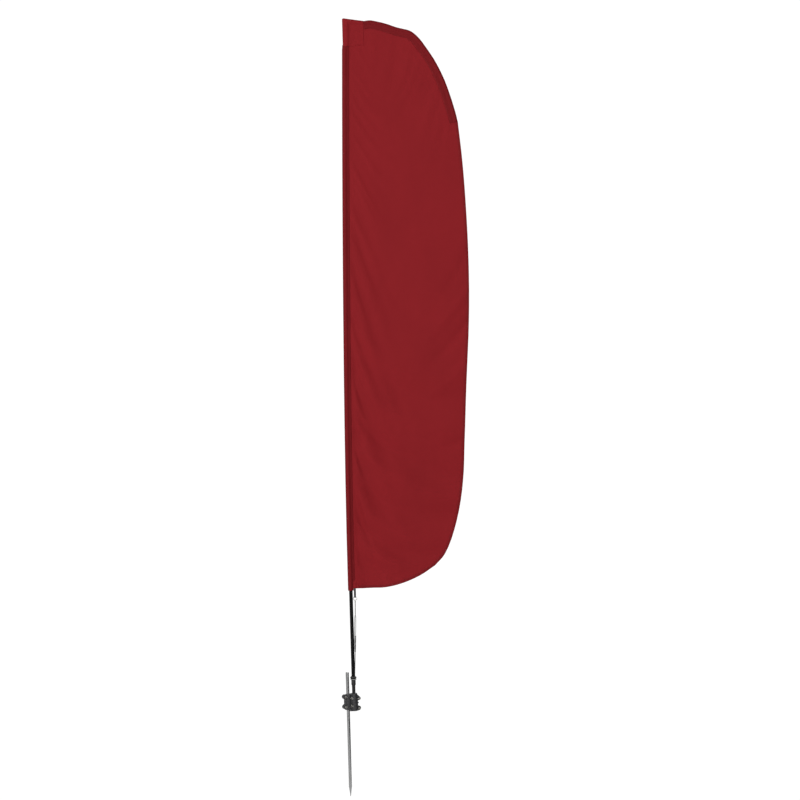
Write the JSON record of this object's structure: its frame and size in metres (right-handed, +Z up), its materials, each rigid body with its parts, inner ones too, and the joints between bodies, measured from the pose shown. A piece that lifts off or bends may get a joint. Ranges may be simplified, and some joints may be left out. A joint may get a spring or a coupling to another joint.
{
  "type": "feather flag with ground rod",
  "caption": "Tall blade-shaped cloth banner on a sectional pole that turns on a spindle, clamped beside a pointed steel ground rod.",
  "frame": {"origin": "on the ground rod's axis at ground level, where the rod enters the ground", "axes": "+Z up along the rod and the pole, +X the way the flag flies at rest, +Y away from the front view"},
  "size_m": [0.6961, 0.0725, 3.888],
  "materials": {
    "bare_steel": "satin",
    "zinc_plate": "satin",
    "ring_steel": "gloss",
    "clamp_black": "matte",
    "spindle_black": "satin",
    "fitting_black": "satin",
    "bush_nylon": "satin",
    "pole_black": "satin",
    "batten_glassfibre": "satin",
    "cap_rubber": "matte",
    "flag_cloth": "matte",
    "sleeve_cloth": "matte",
    "tab_webbing": "matte",
    "elastic_cord": "matte",
    "splice_grey": "satin"
  },
  "bodies": {
    "ground_rod": {"ground_rod": "bare_steel"},
    "clamp": {"clamp_front_shell": "clamp_black", "clamp_rear_shell": "clamp_black", "clamp_bolt_1": "zinc_plate", "bolt_washer_1": "zinc_plate", "clamp_nut_1": "zinc_plate", "clamp_bolt_2": "zinc_plate", "bolt_washer_2": "zinc_plate", "clamp_nut_2": "zinc_plate", "clamp_bolt_3": "zinc_plate", "bolt_washer_3": "zinc_plate", "clamp_nut_3": "zinc_plate", "clamp_bolt_4": "zinc_plate", "bolt_washer_4": "zinc_plate", "clamp_nut_4": "zinc_plate", "clamp_bolt_5": "zinc_plate", "bolt_washer_5": "zinc_plate", "clamp_nut_5": "zinc_plate", "clamp_bolt_6": "zinc_plate", "bolt_washer_6": "zinc_plate", "clamp_nut_6": "zinc_plate", "spindle_pin": "spindle_black", "thrust_washer": "bush_nylon", "retaining_ring": "zinc_plate"},
    "swivel": {"swivel_sleeve": "fitting_black", "lower_bush": "bush_nylon", "upper_bush": "bush_nylon"},
    "mast": {"pole_collar": "fitting_black", "top_elbow": "fitting_black", "top_batten": "batten_glassfibre", "batten_end_cap": "cap_rubber", "sail_panel": "flag_cloth", "pole_sleeve": "sleeve_cloth", "batten_sleeve": "sleeve_cloth", "corner_pocket": "flag_cloth", "tension_tab": "tab_webbing", "tension_ring": "ring_steel", "cord_twist": "elastic_cord", "tension_cord": "elastic_cord", "cord_splice_sleeve": "splice_grey", "pole_section_1": "pole_black", "pole_section_2": "pole_black", "pole_section_3": "pole_black", "pole_section_4": "pole_black", "pole_ferrule_1": "fitting_black", "pole_ferrule_2": "fitting_black", "pole_ferrule_3": "fitting_black"}
  },
  "joints": [
    {"name": "clamp_slide", "type": "slide", "parent": "ground_rod", "child": "clamp", "axis": [0, 0, 1], "range_m": [-0.3, 0.1]},
    {"name": "mast_swivel", "type": "hinge", "parent": "clamp", "child": "swivel", "pos_m": [0.02966, 0.01447, 0.15], "axis": [0, 0, 1], "continuous": true},
    {"name": "mast_lift", "type": "slide", "parent": "swivel", "child": "mast", "axis": [0, 0, 1], "range_m": [0, 0.11]}
  ]
}
